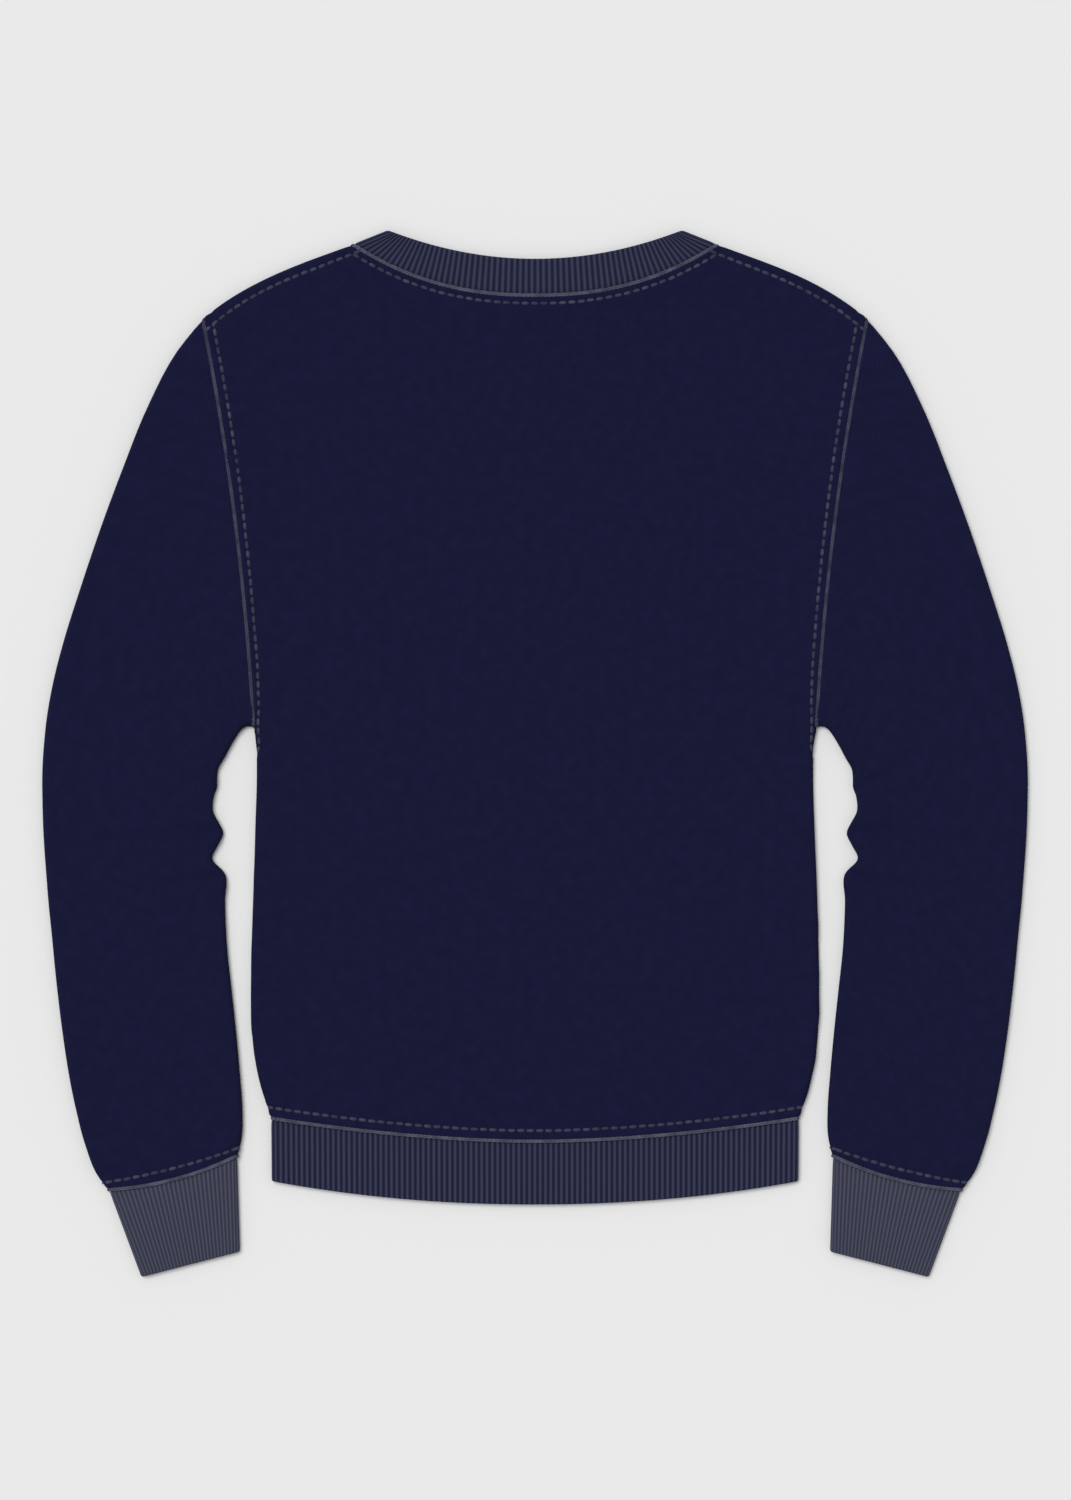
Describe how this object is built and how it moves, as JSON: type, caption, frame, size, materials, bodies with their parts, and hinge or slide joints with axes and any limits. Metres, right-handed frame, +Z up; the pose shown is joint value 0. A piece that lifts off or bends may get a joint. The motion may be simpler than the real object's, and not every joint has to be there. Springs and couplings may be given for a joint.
{
  "type": "v-neck sweatshirt",
  "caption": "Long-sleeved fleece sweatshirt laid flat with its back up, with ribbed neck band, hem and cuffs and a V at the front.",
  "frame": {"origin": "middle of the laid garment's bounding box, on the surface it lies on", "axes": "+Z up from the surface through the front and out of the back, +Y from hem to neck, +X to the wearer's right"},
  "size_m": [0.7386, 0.7835, 0.0084],
  "materials": {
    "fleece": "matt navy jersey face of a brushed fleece",
    "rib": "matt navy knitted rib",
    "cuff_rib": "matt greyish navy knitted rib"
  },
  "bodies": {
    "root": {"body_back": "fleece", "body_front": "fleece", "sleeve_left": "fleece", "sleeve_right": "fleece", "neck_rib": "rib", "hem_rib": "rib", "cuff_left": "cuff_rib", "cuff_right": "cuff_rib"}
  },
  "joints": []
}
